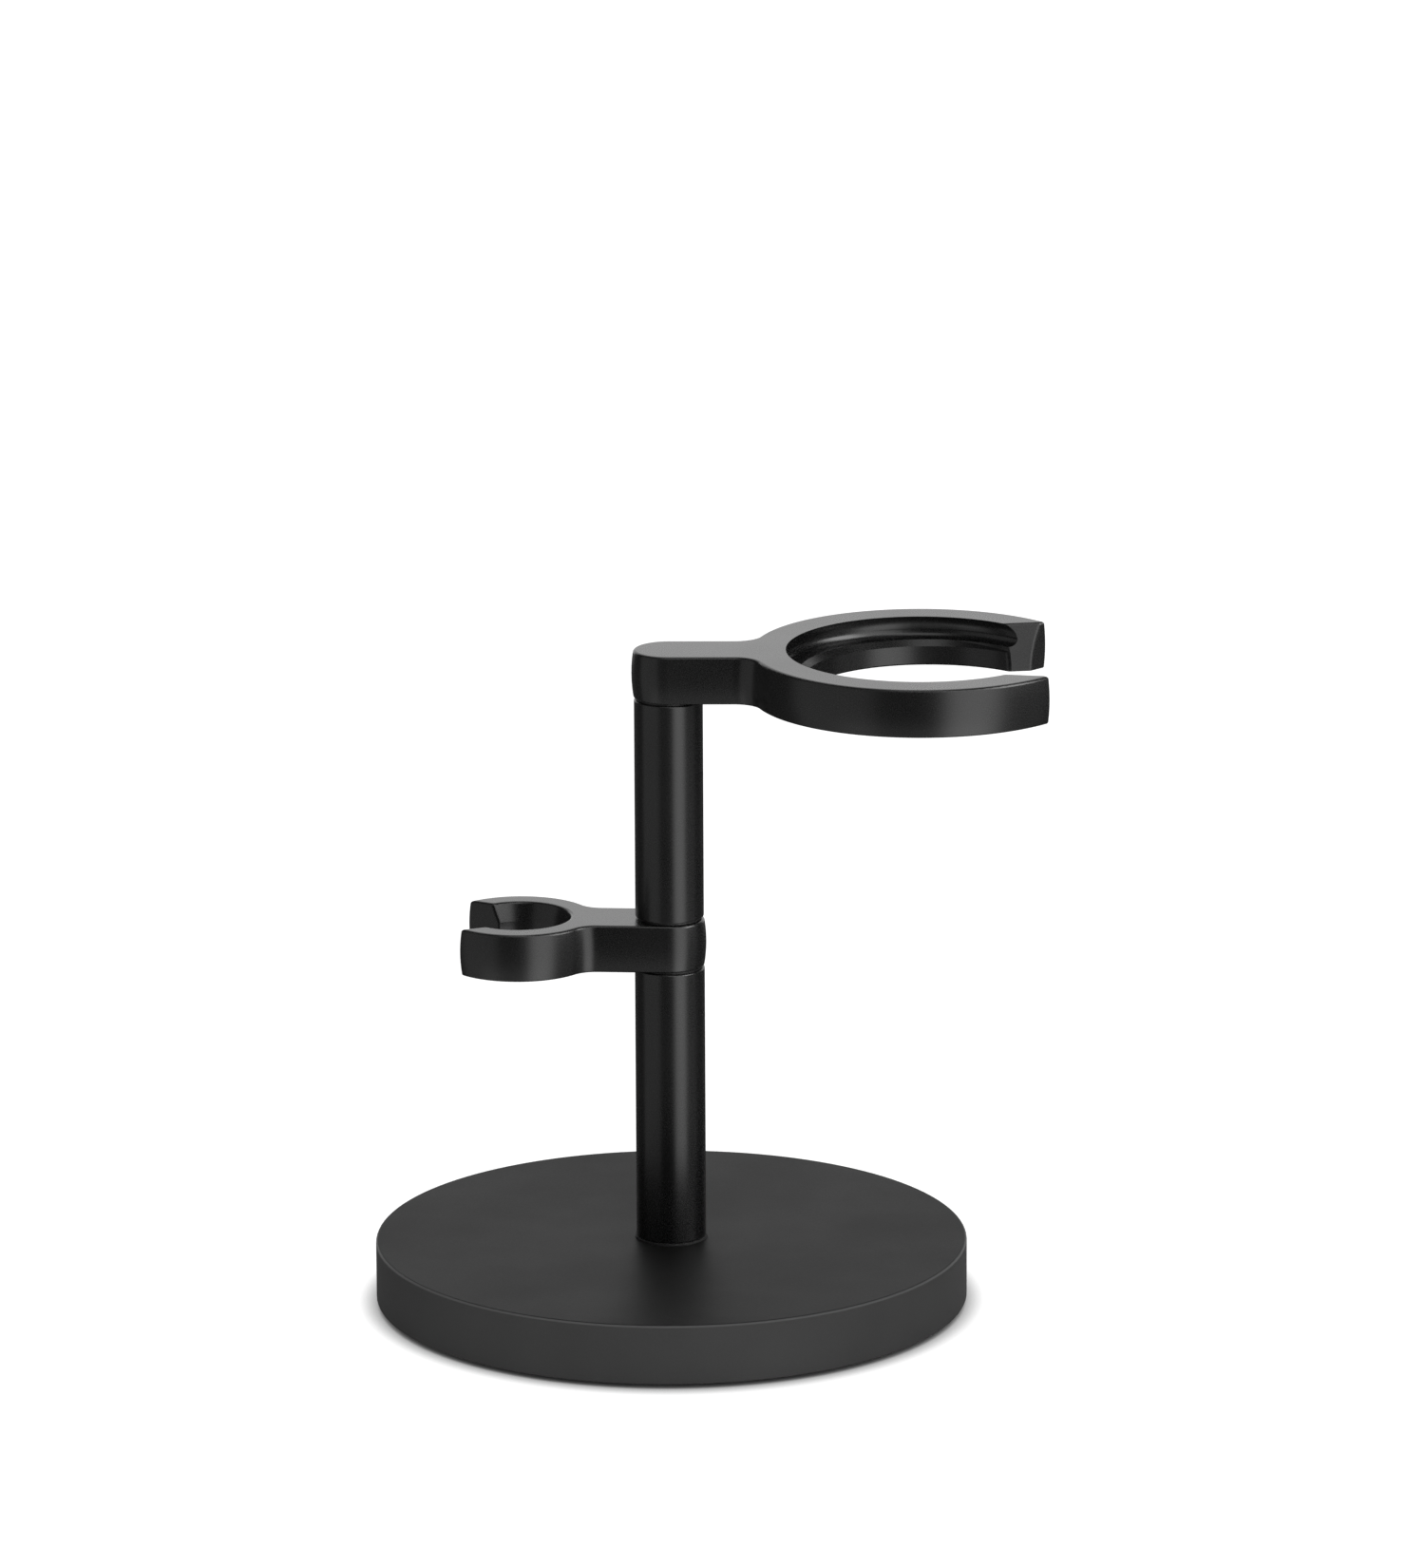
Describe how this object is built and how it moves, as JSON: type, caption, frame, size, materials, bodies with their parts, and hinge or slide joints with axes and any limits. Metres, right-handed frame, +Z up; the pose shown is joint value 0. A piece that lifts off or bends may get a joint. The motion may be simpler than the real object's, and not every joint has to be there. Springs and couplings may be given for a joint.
{
  "type": "razor stand",
  "caption": "Satin black countertop stand: weighted round base, round post, a short swivelling arm with an open clip for a razor and a long one with an open ring for a brush.",
  "frame": {"origin": "centre of the rubber pad's underside, on the post's axis", "axes": "+Z up along the post; +X along the brush arm, -X along the razor arm"},
  "size_m": [0.1001, 0.0884, 0.1001],
  "materials": {
    "base_coat": "matte black powder coat, fine grain",
    "post_coat": "satin black coat over turned bar",
    "arm_coat": "satin black coat over cast arm",
    "pad_rubber": "matte",
    "gasket_rubber": "matte",
    "adhesive_film": "tacky film",
    "swivel_nylon": "moulded",
    "bush_nylon": "moulded natural nylon",
    "screw_steel": "zinc plated",
    "washer_steel": "zinc plated",
    "stud_steel": "plain rolled thread"
  },
  "bodies": {
    "stand": {"base_disc": "base_coat", "base_pad": "pad_rubber", "pad_adhesive": "adhesive_film", "base_screw": "screw_steel", "base_spring_washer": "washer_steel", "base_flat_washer": "washer_steel", "foot_gasket": "gasket_rubber", "lower_post": "post_coat", "lower_swivel_washer": "swivel_nylon", "upper_swivel_washer": "swivel_nylon", "middle_stud": "stud_steel", "upper_post": "post_coat", "top_swivel_washer": "swivel_nylon", "top_stud": "stud_steel"},
    "razor_holder": {"razor_arm": "arm_coat", "razor_arm_bush": "bush_nylon"},
    "brush_holder": {"brush_arm": "arm_coat"}
  },
  "joints": [
    {"name": "razor_arm_swivel", "type": "hinge", "parent": "stand", "child": "razor_holder", "pos_m": [0, 0, 0.05552], "axis": [0, 0, 1], "continuous": true},
    {"name": "brush_arm_swivel", "type": "hinge", "parent": "stand", "child": "brush_holder", "pos_m": [0, 0, 0.09657], "axis": [0, 0, 1], "range_deg": [-180, 180]}
  ]
}
